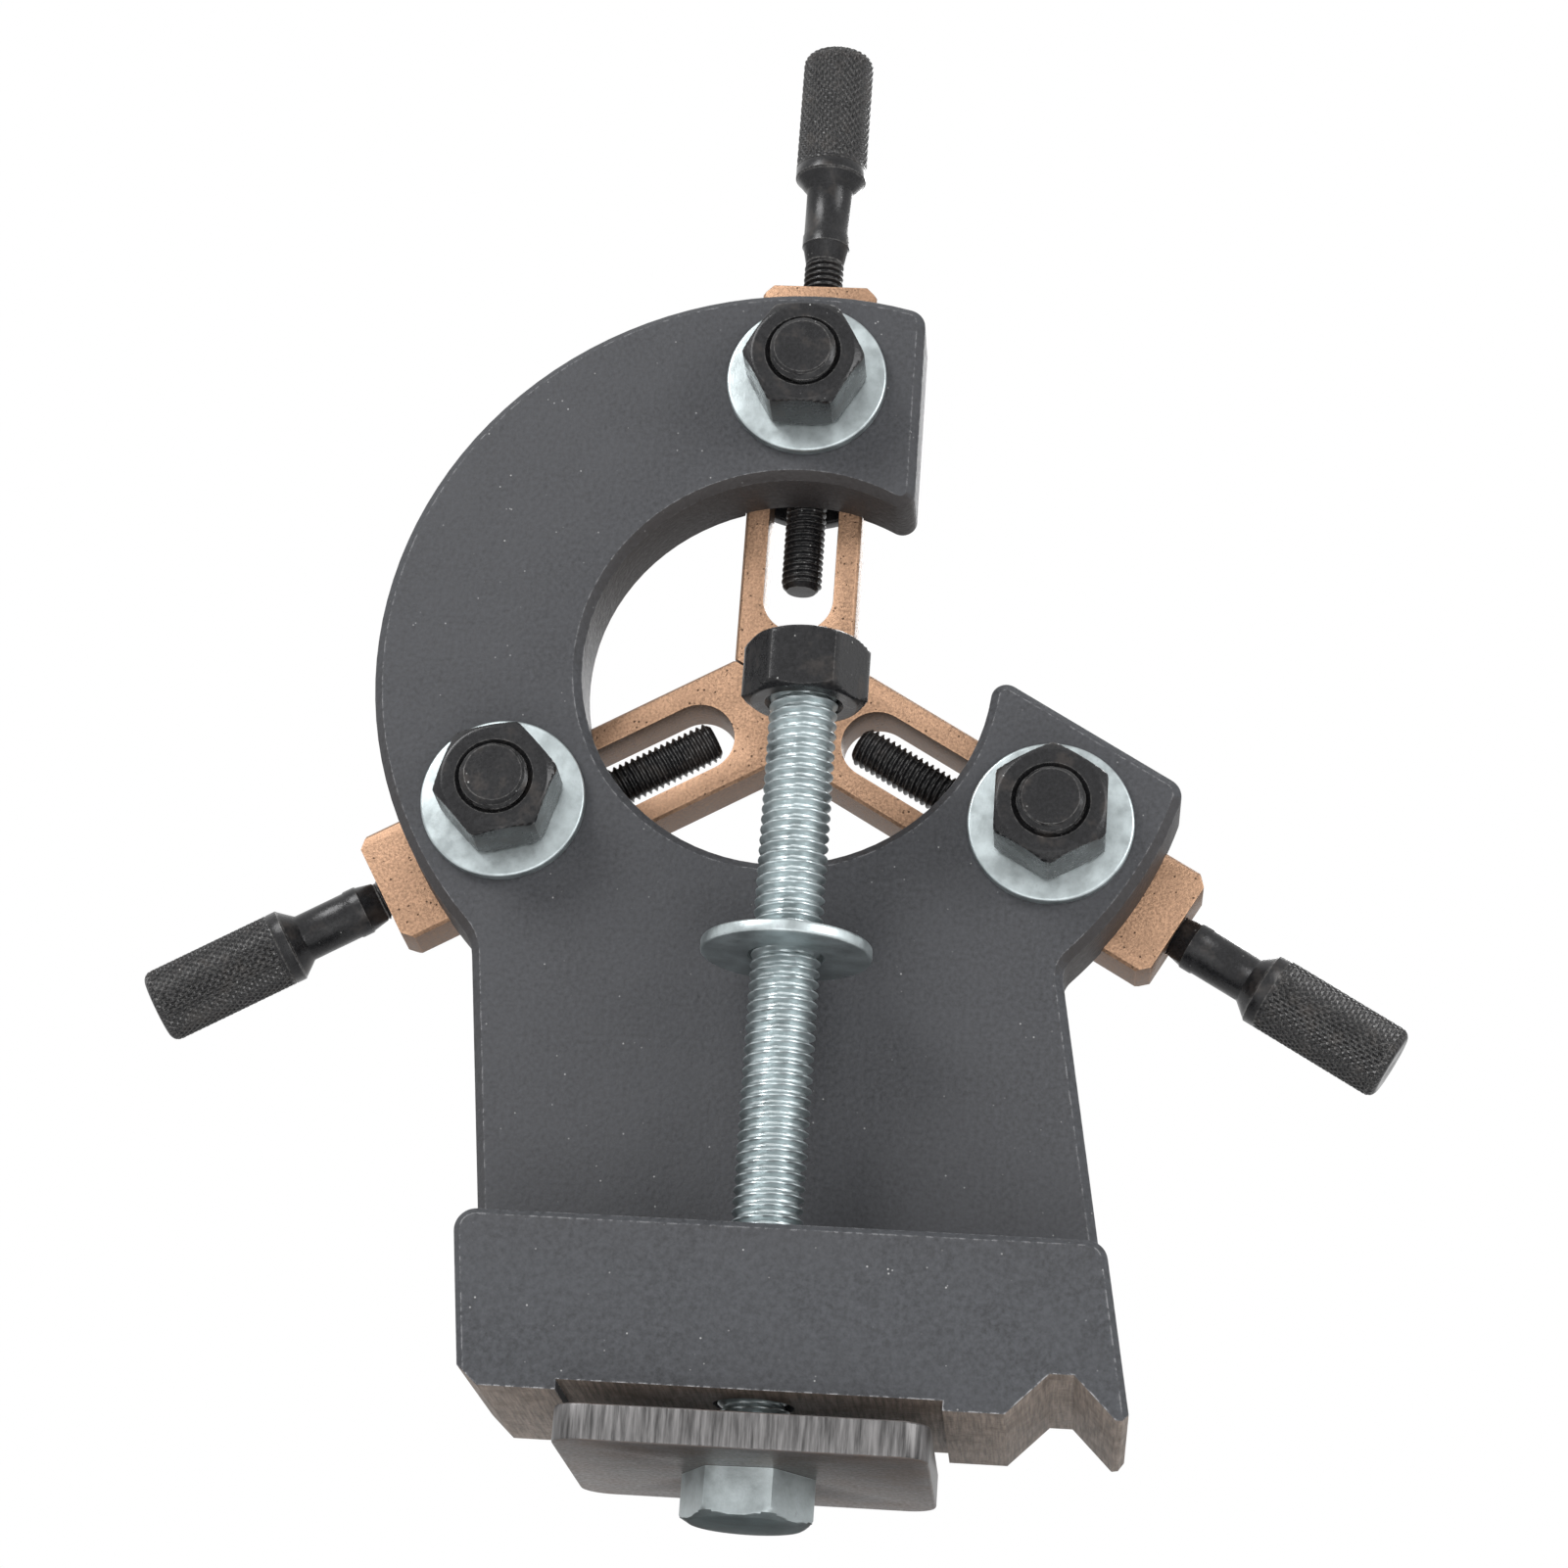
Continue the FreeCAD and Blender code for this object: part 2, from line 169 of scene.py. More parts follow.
def round_shell(radius, height, angle, closed=False):
    """Closed shell about Z: point (r, z) of each row is carried round the axis.

    radius and height are arrays of rows by columns, and angle holds the columns' angles.
    With closed, the last row joins the first; otherwise each end is a fan to a point on the axis.
    Gives points, quads and triangles.
    """
    rows, columns = radius.shape
    points = np.stack([radius * np.cos(angle), radius * np.sin(angle), height], -1).reshape(-1, 3)
    quads = lattice(rows, columns, closed)
    if closed:
        return points, quads, np.zeros((0, 3), int)
    c = np.arange(columns)
    c_next = (c + 1) % columns
    ends = np.array([[0, 0, height[0].mean()], [0, 0, height[-1].mean()]])
    low, high, last = len(points), len(points) + 1, (rows - 1) * columns
    fans = np.concatenate(
        [np.stack([np.full(columns, low), c_next, c], -1),
         np.stack([np.full(columns, high), last + c, last + c_next], -1)]
    )
    return np.concatenate([points, ends]), quads, fans


def joined(shells):
    """Several shells as the points, quads and triangles of one."""
    points, quads, fans, first = [], [], [], 0
    for p, q, t in shells:
        points.append(p)
        quads.append(q + first)
        fans.append(t + first)
        first += len(p)
    return np.concatenate(points), np.concatenate(quads), np.concatenate(fans)


def angles(columns):
    """Angles of evenly spaced columns round one turn."""
    return np.arange(columns) * TURN / columns


def put_mesh(name, shell, place, crease=32):
    """Mesh object of a shell, moved to its place by a 4 x 4 matrix, with creases above an angle."""
    points, quads, fans = shell
    matrix = np.array(place)
    points = points @ matrix[:3, :3].T + matrix[:3, 3]
    mesh = bpy.data.meshes.new(name)
    mesh.vertices.add(len(points))
    mesh.vertices.foreach_set("co", points.astype(np.float32).ravel())
    corners = np.concatenate([quads.ravel(), fans.ravel()]).astype(np.int32)
    starts = np.concatenate([np.arange(len(quads)) * 4, len(quads) * 4 + np.arange(len(fans)) * 3])
    mesh.loops.add(len(corners))
    mesh.loops.foreach_set("vertex_index", corners)
    mesh.polygons.add(len(starts))
    mesh.polygons.foreach_set("loop_start", starts.astype(np.int32))
    mesh.update(calc_edges=True)
    if mesh.validate():
        raise RuntimeError(name + ": the surface has bad faces")
    mesh.shade_smooth()
    mesh.set_sharp_from_angle(angle=math.radians(crease))
    piece = bpy.data.objects.new(name, mesh)
    bpy.context.scene.collection.objects.link(piece)
    return piece


def finish_piece(piece, material, body, node):
    """Gives a piece its material and the body it rides on, and hides the node that it replaces."""
    piece.data.materials.clear()
    piece.data.materials.append(material)
    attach(piece, body)
    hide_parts(node)


def thread_depth(angle, height, pitch, depth, starts_at, ends_at, fade):
    """Groove depth of a right-hand thread: a triangle wave of height / pitch less turns,
    with its crest and root cut flat, fading out at both ends of the threaded length."""
    phase = np.mod(height / pitch - angle / TURN, 1.0)
    wave = np.abs(2 * phase - 1)
    groove = 1 - np.clip((wave - ROOT_FLAT) / FLANK_SHARE, 0, 1)
    run_in = np.clip((height - starts_at) / fade, 0, 1)
    run_out = np.clip((ends_at - height) / fade, 0, 1)
    return depth * groove * np.minimum(run_in, run_out)


def hexagon_radius(angle, across_flats, corner_softness=0.985):
    """Distance from the axis to a hexagon's side at an angle, with its corners slightly blunted."""
    from_flat = np.mod(angle, TURN / 6) - TURN / 12
    corner = across_flats / 2 / math.cos(TURN / 12)
    return np.minimum(across_flats / 2 / np.cos(from_flat), corner * corner_softness)


def radial_place(name, from_axis, y):
    """Matrix that stands a piece built along +Z out from the work axis at a station."""
    turn = math.radians(STATIONS[name])
    spot = Vector((math.sin(turn) * from_axis, y, WORK_AXIS_Z + math.cos(turn) * from_axis))
    return Matrix.Translation(spot) @ Matrix.Rotation(turn, 4, "Y")


def station_place(name, y):
    """Matrix that lays a piece built along +Z down along -Y at a clamp station."""
    return radial_place(name, CLAMP_RADIUS, y) @ Matrix.Rotation(math.radians(90), 4, "X")


def reach(node, name):
    """Nearest and farthest distance of a node from the work axis, along its station's direction."""
    turn = math.radians(STATIONS[name])
    co = np.array([v.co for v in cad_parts[node].data.vertices])
    out = co[:, 0] * math.sin(turn) + (co[:, 2] - WORK_AXIS_Z) * math.cos(turn)
    return float(out.min()), float(out.max())


def span(node, axis):
    """Low and high end of a node's box along an axis."""
    low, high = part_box(node)
    return low[axis], high[axis]


# ---------------------------------------------------------------- shapes
def bevel_rows(height):
    """Heights up a hexagon from 0 to its height, close together near both ends."""
    depth = np.concatenate([[0], np.geomspace(0.04 * MM, height / 2, 12)])
    return np.concatenate([depth, height - depth[::-1][1:]])


def hex_head(height, columns=96):
    """Hexagonal head hanging from Z = height, its free end down at Z = 0.

    Its radius is the lesser of the hexagon's and of a cone that widens at 30 degrees to the face.
    """
    angle = angles(columns)
    face = HEX_ACROSS_FLATS / 2 * FACE_SHARE
    rows = bevel_rows(height)
    cone = face + (height - rows)[:, None] / BEVEL_SLOPE
    radius = np.minimum(hexagon_radius(angle, HEX_ACROSS_FLATS)[None, :], cone)
    radius = np.concatenate([radius, np.full((1, columns), face - 0.24 * MM)])
    heights = np.broadcast_to(np.append(rows, height)[:, None], radius.shape)
    points, quads, fans = round_shell(radius, heights, angle)
    points[:, 2] = height - points[:, 2]
    return points, quads[:, ::-1], fans[:, ::-1]


def threaded_rod(nominal, pitch, start, end, thread_from, thread_to, chamfer, columns=64):
    """Rod from start to end whose radius is the nominal one less the thread's groove.

    A 45 degree cone limits the radius at its far end, and at its near end too if the thread starts there.
    """
    angle = angles(columns)[None, :]
    rows = np.linspace(start, end, int(round((end - start) / (pitch / 10))))[:, None]
    groove = thread_depth(angle, rows, pitch, 0.52 * pitch, thread_from, thread_to, pitch * 0.6)
    from_end = end - rows
    if thread_from <= start:
        from_end = np.minimum(from_end, rows - start)
    cone = np.maximum(nominal - chamfer + from_end, 0.2 * nominal)
    radius = np.minimum(nominal - groove, cone)
    return round_shell(np.broadcast_to(radius, (rows.shape[0], columns)),
                       np.broadcast_to(rows, (rows.shape[0], columns)), angle[0])


def hex_bolt(whole, pitch, thread_from, under_head=0.0):
    """Bolt of a given whole length that stands on its head, with its free end threaded.

    The head stays short of its full height by under_head.
    """
    rod = threaded_rod(BOLT_RADIUS, pitch, HEX_HEAD_HEIGHT - 0.5 * MM, whole, thread_from, whole + MM,
                       0.6 * MM)
    return joined([rod, hex_head(HEX_HEAD_HEIGHT - under_head)])


def hex_nut(height, columns=96):
    """Nut from Z = 0 up: hexagon cut by a cone at both ends, flat faces, countersunk bore."""
    angle = angles(columns)
    face = HEX_ACROSS_FLATS / 2 * FACE_SHARE
    bore, sink = BOLT_RADIUS + 0.05 * MM, 0.55 * MM
    rows = bevel_rows(height)
    cone = face + np.minimum(rows, height - rows) / BEVEL_SLOPE
    outside = np.minimum(hexagon_radius(angle, HEX_ACROSS_FLATS)[None, :], cone[:, None])
    lip = face - 0.3 * MM
    inner = np.array([(lip, height), (bore + sink, height), (bore, height - sink),
                      (bore, sink), (bore + sink, 0), (lip, 0)])
    shape = (len(inner), columns)
    radius = np.concatenate([outside, np.broadcast_to(inner[:, :1], shape)])
    heights = np.concatenate([np.broadcast_to(rows[:, None], outside.shape),
                              np.broadcast_to(inner[:, 1:], shape)])
    return round_shell(radius, heights, angle, closed=True)


def rounded_ring(inner, outer, thickness, softness, columns=128):
    """Punched washer: a rectangle with rounded outer corners, turned about Z."""
    quarter = np.linspace(0, math.pi / 2, 5)
    low = [(outer - softness + softness * math.sin(a), softness - softness * math.cos(a)) for a in quarter]
    high = [(outer - softness + softness * math.cos(a), thickness - softness + softness * math.sin(a))
            for a in quarter]
    hole = 0.4 * softness
    inside = [(inner + hole, thickness), (inner, thickness - hole), (inner, hole), (inner + hole, 0)]
    profile = np.array(low + high + inside)
    angle = angles(columns)
    shape = (len(profile), columns)
    return round_shell(np.broadcast_to(profile[:, :1], shape), np.broadcast_to(profile[:, 1:], shape),
                       angle, closed=True)


def knurl_stand(angle, height, sizes):
    """How far the knurl stands at a point, from 0 in a groove to 1 on a diamond.

    With u = n turns + z / p and v = n turns - z / p, each family of grooves is a triangle wave
    of its phase, and the lower of the two counts, so diamonds stand between the grooves.
    """
    turns, along = sizes.knurl_count * angle / TURN, height[:, None] / sizes.knurl_pitch
    wave_u = 1 - np.abs(2 * np.mod(turns + along, 1) - 1)
    wave_v = 1 - np.abs(2 * np.mod(turns - along, 1) - 1)
    return np.clip(np.minimum(wave_u, wave_v) / KNURL_FLANK, 0, 1)


def knurled_grip(start, end, sizes, columns_per_groove=8):
    """Grip from start to end: a plain collar, a cylinder less the knurl's depth, and a rounded end."""
    angle = angles(sizes.knurl_count * columns_per_groove)[None, :]
    grip, collar, rounding = GRIP_RADIUS, 1.5 * MM, 1.15 * MM
    knurl_z = np.arange(start + collar, end - rounding, sizes.knurl_pitch / 8)
    run_in = np.clip((knurl_z - start - collar) / (0.6 * MM), 0, 1)[:, None]
    body = grip - sizes.knurl_depth * (1 - knurl_stand(angle, knurl_z, sizes)) * run_in
    turns = np.linspace(0, math.pi / 2, 9)
    dome_z = end - rounding + rounding * np.sin(turns)
    dome_r = (grip - rounding + rounding * np.cos(turns))[:, None]
    fade = np.cos(turns)[:, None]
    dome = dome_r - sizes.knurl_depth * (1 - knurl_stand(angle, dome_z, sizes)) * fade
    lower_z = np.array([start, start + 0.15 * MM, start + collar - 0.15 * MM, start + collar - 0.02 * MM])
    lower_r = np.array([grip - 0.15 * MM, grip, grip, grip - 0.1 * MM])

    def across(values):
        return np.broadcast_to(values[:, None], (len(values), angle.shape[1]))

    radius = np.concatenate([across(lower_r), body, dome, across(np.array([grip * 0.55]))])
    height = across(np.concatenate([lower_z, knurl_z, dome_z, [end]]))
    return round_shell(radius, height, angle[0])


def neck_shell(shoulder, grip_start, columns=72):
    """Turned neck between thread and grip: a profile of (radius, height) carried about Z.

    It widens from the thread to a raised band at the shoulder, runs plain, and flares into the grip.
    """
    band = 3.02 * MM
    profile = np.array([
        (2.1 * MM, shoulder - 0.3 * MM), (2.45 * MM, shoulder), (2.85 * MM, shoulder + 1.9 * MM),
        (band, shoulder + 2.1 * MM), (band, shoulder + 3.5 * MM),
        (NECK_RADIUS, shoulder + 3.7 * MM), (NECK_RADIUS, grip_start - 1.75 * MM),
        (NECK_RADIUS + 0.15 * MM, grip_start - 1.55 * MM), (GRIP_RADIUS - 0.25 * MM, grip_start - 0.1 * MM),
        (GRIP_RADIUS - 0.1 * MM, grip_start + 0.1 * MM), (GRIP_RADIUS - 0.6 * MM, grip_start + 0.3 * MM)])
    shape = (len(profile), columns)
    return round_shell(np.broadcast_to(profile[:, :1], shape), np.broadcast_to(profile[:, 1:], shape),
                       angles(columns))


def softened_copy(node, width, segments, name):
    """Copy of a solid with its flat faces made whole and its sharp edges rounded."""
    mesh = bpy.data.meshes.new(name)
    work = bmesh.new()
    work.from_mesh(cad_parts[node].data)
    bmesh.ops.remove_doubles(work, verts=work.verts, dist=1e-6)
    bmesh.ops.dissolve_limit(work, angle_limit=math.radians(0.4), verts=work.verts, edges=work.edges)
    work.to_mesh(mesh)
    work.free()
    mesh.materials.clear()
    mesh.shade_smooth()
    piece = bpy.data.objects.new(name, mesh)
    bpy.context.scene.collection.objects.link(piece)
    bevel = piece.modifiers.new("Worn edges", "BEVEL")
    bevel.width = width
    bevel.segments = segments
    bevel.limit_method = "ANGLE"
    bevel.angle_limit = math.radians(28)
    bevel.miter_outer = "MITER_ARC"
    bevel.use_clamp_overlap = True
    return piece


# ---------------------------------------------------------------- finishes
class Finish:
    """A procedural material under construction."""

    def __init__(self, name):
        self.material = bpy.data.materials.get(name) or bpy.data.materials.new(name)
        self.material.use_nodes = True
        self.tree = self.material.node_tree
        self.tree.nodes.clear()
        self.shader = self.node("ShaderNodeBsdfPrincipled")
        out = self.node("ShaderNodeOutputMaterial")
        self.link(self.shader.outputs[0], out.inputs[0])
        place = self.node("ShaderNodeTexCoord")
        self.place = place.outputs["Object"]
        geometry = self.node("ShaderNodeNewGeometry")
        self.normal = geometry.outputs["True Normal"]

    def node(self, kind, **settings):
        made = self.tree.nodes.new(kind)
        for key, value in settings.items():
            setattr(made, key, value)
        return made

    def link(self, source, target):
        self.tree.links.new(source, target)

    def put(self, socket, value):
        if isinstance(value, bpy.types.NodeSocket):
            self.link(value, socket)
        else:
            socket.default_value = value

    def scaled(self, scale):
        """Object coordinates stretched by a scale for each axis."""
        mapping = self.node("ShaderNodeMapping")
        self.link(self.place, mapping.inputs["Vector"])
        mapping.inputs["Scale"].default_value = scale
        return mapping.outputs[0]

    def noise(self, size, detail=4.0, roughness=0.55, source=None):
        """Noise whose blotches are about the given size in millimetres."""
        made = self.node("ShaderNodeTexNoise")
        self.link(source or self.place, made.inputs["Vector"])
        made.inputs["Scale"].default_value = 1 / (size * MM)
        made.inputs["Detail"].default_value = detail
        made.inputs["Roughness"].default_value = roughness
        return made.outputs["Fac"]

    def cells(self, size):
        """Distance to the nearest of scattered points about the given size apart, in millimetres."""
        made = self.node("ShaderNodeTexVoronoi", feature="F1")
        self.link(self.place, made.inputs["Vector"])
        made.inputs["Scale"].default_value = 1 / (size * MM)
        return made.outputs["Distance"]

    def ramp(self, value, low, high, to_low=0.0, to_high=1.0):
        """Value carried from low..high to to_low..to_high and held there outside."""
        made = self.node("ShaderNodeMapRange", clamp=True)
        self.put(made.inputs["Value"], value)
        for socket, number in zip(("From Min", "From Max", "To Min", "To Max"), (low, high, to_low, to_high)):
            made.inputs[socket].default_value = number
        return made.outputs[0]

    def math(self, operation, a, b=0.0):
        made = self.node("ShaderNodeMath", operation=operation)
        self.put(made.inputs[0], a)
        self.put(made.inputs[1], b)
        return made.outputs[0]

    def mix(self, share, a, b):
        """Colour a where share is 0 and colour b where it is 1."""
        made = self.node("ShaderNodeMix", data_type="RGBA")
        self.put(made.inputs["Factor"], share)
        ends = [socket for socket in made.inputs if socket.type == "RGBA"]
        for socket, value in zip(ends, (a, b)):
            self.put(socket, value if isinstance(value, bpy.types.NodeSocket) else (*value[:3], 1.0))
        return [socket for socket in made.outputs if socket.type == "RGBA"][0]

    def part(self, vector, axis):
        """One of a vector's three parts."""
        made = self.node("ShaderNodeSeparateXYZ")
        self.link(vector, made.inputs[0])
        return made.outputs[axis]

    def edges(self, radius):
        """0 on open surface, rising on edges and corners within a radius in millimetres."""
        bevel = self.node("ShaderNodeBevel", samples=6)
        bevel.inputs["Radius"].default_value = radius * MM
        dot = self.node("ShaderNodeVectorMath", operation="DOT_PRODUCT")
        geometry = self.node("ShaderNodeNewGeometry")
        self.link(bevel.outputs[0], dot.inputs[0])
        self.link(geometry.outputs["Normal"], dot.inputs[1])
        return self.ramp(dot.outputs["Value"], 0.995, 0.90)

    def bump(self, height, distance):
        """Normal of a relief whose full height is the distance in millimetres."""
        made = self.node("ShaderNodeBump")
        self.link(height, made.inputs["Height"])
        made.inputs["Distance"].default_value = distance * MM
        made.inputs["Strength"].default_value = 1.0
        return made.outputs[0]

    def set(self, **inputs):
        """Values or sockets for the finish's colour, rough, metal and normal; gives the material."""
        names = {"colour": "Base Color", "rough": "Roughness", "metal": "Metallic", "normal": "Normal"}
        for key, value in inputs.items():
            socket = self.shader.inputs[names[key]]
            if key == "colour" and not isinstance(value, bpy.types.NodeSocket):
                value = (*value[:3], 1.0)
            self.put(socket, value)
        return self.material


def shade(tint, factor):
    """Colour made lighter or darker by a factor."""
    return tuple(min(1.0, c * factor) for c in tint)


def casting_finish(colours):
    """Dark as-cast iron: fine orange-peel grain, pale specks, silvery chips along the edges,
    bare machined metal with cutter lines on the underside of the foot, and painted shade on downward-facing
    faces above it."""
    f = Finish("as-cast iron")
    dark = tuple(colours.casting)
    speck, chip = (0.42, 0.42, 0.42), (0.44, 0.44, 0.45)
    # The first colour is painted shade for downward-facing faces; the second is a real stain on the machined
    # metal.
    painted_under_shade, stain = (0.026, 0.021, 0.019), (0.085, 0.06, 0.045)
    grain = f.noise(0.55, 5.0, 0.62)
    patch = f.noise(9.0, 4.0, 0.6)
    pits = f.cells(0.9)
    tone = f.mix(f.ramp(grain, 0.32, 0.70), shade(dark, 0.62), shade(dark, 1.45))
    tone = f.mix(f.ramp(patch, 0.40, 0.75, 0.0, 0.45), tone, shade(dark, 1.3))
    specks = f.math("MULTIPLY", f.ramp(f.cells(1.35), 0.10, 0.05), f.ramp(f.noise(2.3, 2.0), 0.52, 0.60))
    tone = f.mix(f.math("MULTIPLY", specks, 0.75), tone, speck)
    rim = f.edges(0.35)
    broken = f.ramp(f.noise(1.1, 5.0, 0.7), 0.47, 0.56)
    chips = f.math("MULTIPLY", rim, broken)
    tone = f.mix(f.math("MULTIPLY", rim, 0.35), tone, shade(dark, 2.0))
    tone = f.mix(f.math("MULTIPLY", chips, 0.9), tone, chip)
    height = f.part(f.place, 2)
    facing = f.part(f.normal, 2)
    # Painted shade: faces that point down and sit higher than about 12 to 20 mm are darkened to brown-black.
    painted_under_shade_mask = f.math("MULTIPLY", f.ramp(height, 0.012, 0.020), f.ramp(facing, 0.1, -0.5, 0.0, 0.75))
    tone = f.mix(painted_under_shade_mask, tone, painted_under_shade)
    under = f.math("MULTIPLY", f.ramp(height, 0.0062, 0.0056), f.ramp(facing, -0.5, -0.65))
    lines = f.noise(0.35, 3.0, 0.6, source=f.scaled((1.0, 0.05, 1.0)))
    bare = f.mix(f.ramp(lines, 0.35, 0.65), shade(tuple(colours.machined), 0.62),
                 shade(tuple(colours.machined), 1.3))
    bare = f.mix(f.ramp(f.noise(4.0, 4.0), 0.48, 0.70, 0.0, 0.6), bare, stain)
    tone = f.mix(under, tone, bare)
    rough = f.ramp(grain, 0.3, 0.7, 0.50, 0.72)
    relief = f.math("ADD", f.math("MULTIPLY", grain, 0.55), f.math("MULTIPLY", f.ramp(pits, 0.0, 0.5), 0.25))
    relief = f.math("ADD", relief, f.math("MULTIPLY", f.noise(2.6, 3.0), 0.7))
    normal = f.bump(relief, 0.16)
    f.shader.inputs["Specular IOR Level"].default_value = 0.30
    return f.set(colour=tone, rough=rough, normal=normal, metal=f.math("MULTIPLY", chips, 0.6))


def bronze_finish(colours):
    """Worn bronze: tan ground faces with fine scratches and dark pits, brown sides darkened partly by tarnish
    and partly by painted shade, and bright worn edges."""
    f = Finish("worn bronze")
    face, tarnish_and_shade = tuple(colours.bronze), tuple(colours.bronze_dark)
    grain = f.noise(0.35, 6.0, 0.65)
    patch = f.noise(5.0, 4.0, 0.6)
    tone = f.mix(f.ramp(grain, 0.38, 0.64), shade(face, 0.62), shade(face, 1.12))
    tone = f.mix(f.ramp(patch, 0.45, 0.72, 0.0, 0.55), tone, shade(face, 0.70))
    pits = f.math("MULTIPLY", f.ramp(f.cells(0.75), 0.20, 0.10), f.ramp(f.noise(1.6, 2.0), 0.47, 0.55))
    tone = f.mix(f.math("MULTIPLY", pits, 0.8), tone, tarnish_and_shade)
    # Partly painted shade: faces that do not face along Y are darkened towards the tarnish colour, for
    # tarnish and for the shade on the sides.
    side = f.ramp(f.math("ABSOLUTE", f.part(f.normal, 1)), 0.75, 0.35)
    side_tone = f.mix(f.ramp(grain, 0.35, 0.7), shade(tarnish_and_shade, 0.9), shade(face, 0.42))
    tone = f.mix(f.math("MULTIPLY", side, 0.8), tone, side_tone)
    rim = f.edges(0.4)
    tone = f.mix(f.math("MULTIPLY", rim, f.ramp(grain, 0.4, 0.62, 0.15, 0.9)), tone, shade(face, 1.45))
    rough = f.ramp(grain, 0.3, 0.7, 0.34, 0.56)
    relief = f.math("ADD", grain, f.math("MULTIPLY", pits, -1.2))
    return f.set(colour=tone, rough=rough, metal=0.72, normal=f.bump(relief, 0.07))


def black_finish(colours):
    """Black oxide on turned steel: near-black with brownish blooms, a little worn on the edges, where a
    painted highlight also lightens it.
    """
    f = Finish("black oxide")
    base = tuple(colours.black)
    brown, speck, rub_and_highlight = (0.050, 0.040, 0.034), (0.45, 0.45, 0.44), (0.17, 0.165, 0.16)
    grain = f.noise(0.4, 5.0, 0.6)
    bloom = f.noise(3.2, 4.0, 0.62)
    tone = f.mix(f.ramp(grain, 0.35, 0.7), shade(base, 0.7), shade(base, 1.5))
    tone = f.mix(f.ramp(bloom, 0.54, 0.74, 0.0, 0.55), tone, brown)
    specks = f.math("MULTIPLY", f.ramp(f.cells(1.2), 0.11, 0.06), f.ramp(f.noise(2.0, 2.0), 0.54, 0.60))
    tone = f.mix(f.math("MULTIPLY", specks, 0.7), tone, speck)
    rim = f.edges(0.25)
    # Edges lighten to grey: partly real wear, partly a painted highlight along the edges of nuts, screws and
    # bolts.
    tone = f.mix(f.math("MULTIPLY", rim, f.ramp(grain, 0.42, 0.6, 0.25, 0.9)), tone, rub_and_highlight)
    rough = f.ramp(bloom, 0.35, 0.7, 0.20, 0.40)
    f.shader.inputs["Specular IOR Level"].default_value = 0.38
    return f.set(colour=tone, rough=rough, metal=0.25, normal=f.bump(grain, 0.03))


def zinc_finish(colours):
    """Bright zinc plate: bluish grey with cloudy passivation, rub marks and dull spots."""
    f = Finish("zinc plate")
    base = tuple(colours.zinc)
    dull = (0.24, 0.245, 0.27)
    cloud = f.noise(2.6, 5.0, 0.62)
    grain = f.noise(0.25, 4.0, 0.6)
    tone = f.mix(f.ramp(cloud, 0.35, 0.7), shade(base, 0.72), shade(base, 1.12))
    tone = f.mix(f.ramp(f.noise(1.3, 4.0, 0.7), 0.60, 0.74, 0.0, 0.5), tone, dull)
    rim = f.edges(0.25)
    tone = f.mix(f.math("MULTIPLY", rim, 0.6), tone, shade(base, 1.5))
    rough = f.ramp(cloud, 0.3, 0.7, 0.30, 0.46)
    return f.set(colour=tone, rough=rough, metal=0.9, normal=f.bump(grain, 0.018))


def steel_finish(colours):
    """Bare sheared plate: upright shear lines on the sides, rolled streaks and brown stain on the faces."""
    f = Finish("bare steel")
    base = tuple(colours.steel)
    brown = (0.15, 0.108, 0.086)
    side = f.ramp(f.math("ABSOLUTE", f.part(f.normal, 2)), 0.7, 0.3)
    shear = f.noise(0.5, 4.0, 0.6, source=f.scaled((1.0, 1.0, 0.08)))
    roll = f.noise(0.5, 4.0, 0.65, source=f.scaled((0.07, 1.0, 1.0)))
    stain = f.noise(6.0, 4.0, 0.6)
    side_tone = f.mix(f.ramp(shear, 0.34, 0.66), shade(base, 0.35), shade(base, 1.15))
    flat_tone = f.mix(f.ramp(roll, 0.35, 0.66), shade(base, 0.7), shade(base, 1.25))
    flat_tone = f.mix(f.ramp(stain, 0.38, 0.66, 0.15, 0.75), flat_tone, brown)
    tone = f.mix(side, flat_tone, side_tone)
    rough = f.ramp(shear, 0.3, 0.7, 0.32, 0.52)
    relief = f.math("MULTIPLY", shear, side)
    return f.set(colour=tone, rough=rough, metal=0.85, normal=f.bump(relief, 0.05))


def finish(kind):
    """Material of a slot's finish, made the first time it is asked for."""
    makers = {"cast_dark": ("as-cast iron", casting_finish), "bronze": ("worn bronze", bronze_finish),
              "black_oxide": ("black oxide", black_finish), "zinc": ("zinc plate", zinc_finish),
              "bare_steel": ("bare steel", steel_finish)}
    name, maker = makers[kind]
    return bpy.data.materials.get(name) or maker(bpy.context.scene.steady_rest_colours)


# ---------------------------------------------------------------- operators
class STEADY_OT_casting(bpy.types.Operator):
    """Body casting with softened edges and its as-cast skin"""

    bl_idname = "steady.casting"
    bl_label = "Casting"

    def execute(self, context):
        sizes = context.scene.steady_rest_sizes
        piece = softened_copy("frame_casting", sizes.edge_wear, 3, "casting_body")
        finish_piece(piece, finish("cast_dark"), "frame", "frame_casting")
        return {"FINISHED"}


class STEADY_OT_fingers(bpy.types.Operator):
    """Three bronze fingers with worn edges"""

    bl_idname = "steady.fingers"
    bl_label = "Fingers"

    def execute(self, context):
        for name in STATIONS:
            node = "finger_" + name
            piece = softened_copy(node, 0.18 * MM, 2, "bronze_finger_" + name)
            finish_piece(piece, finish("bronze"), node + "_body", node)
        return {"FINISHED"}


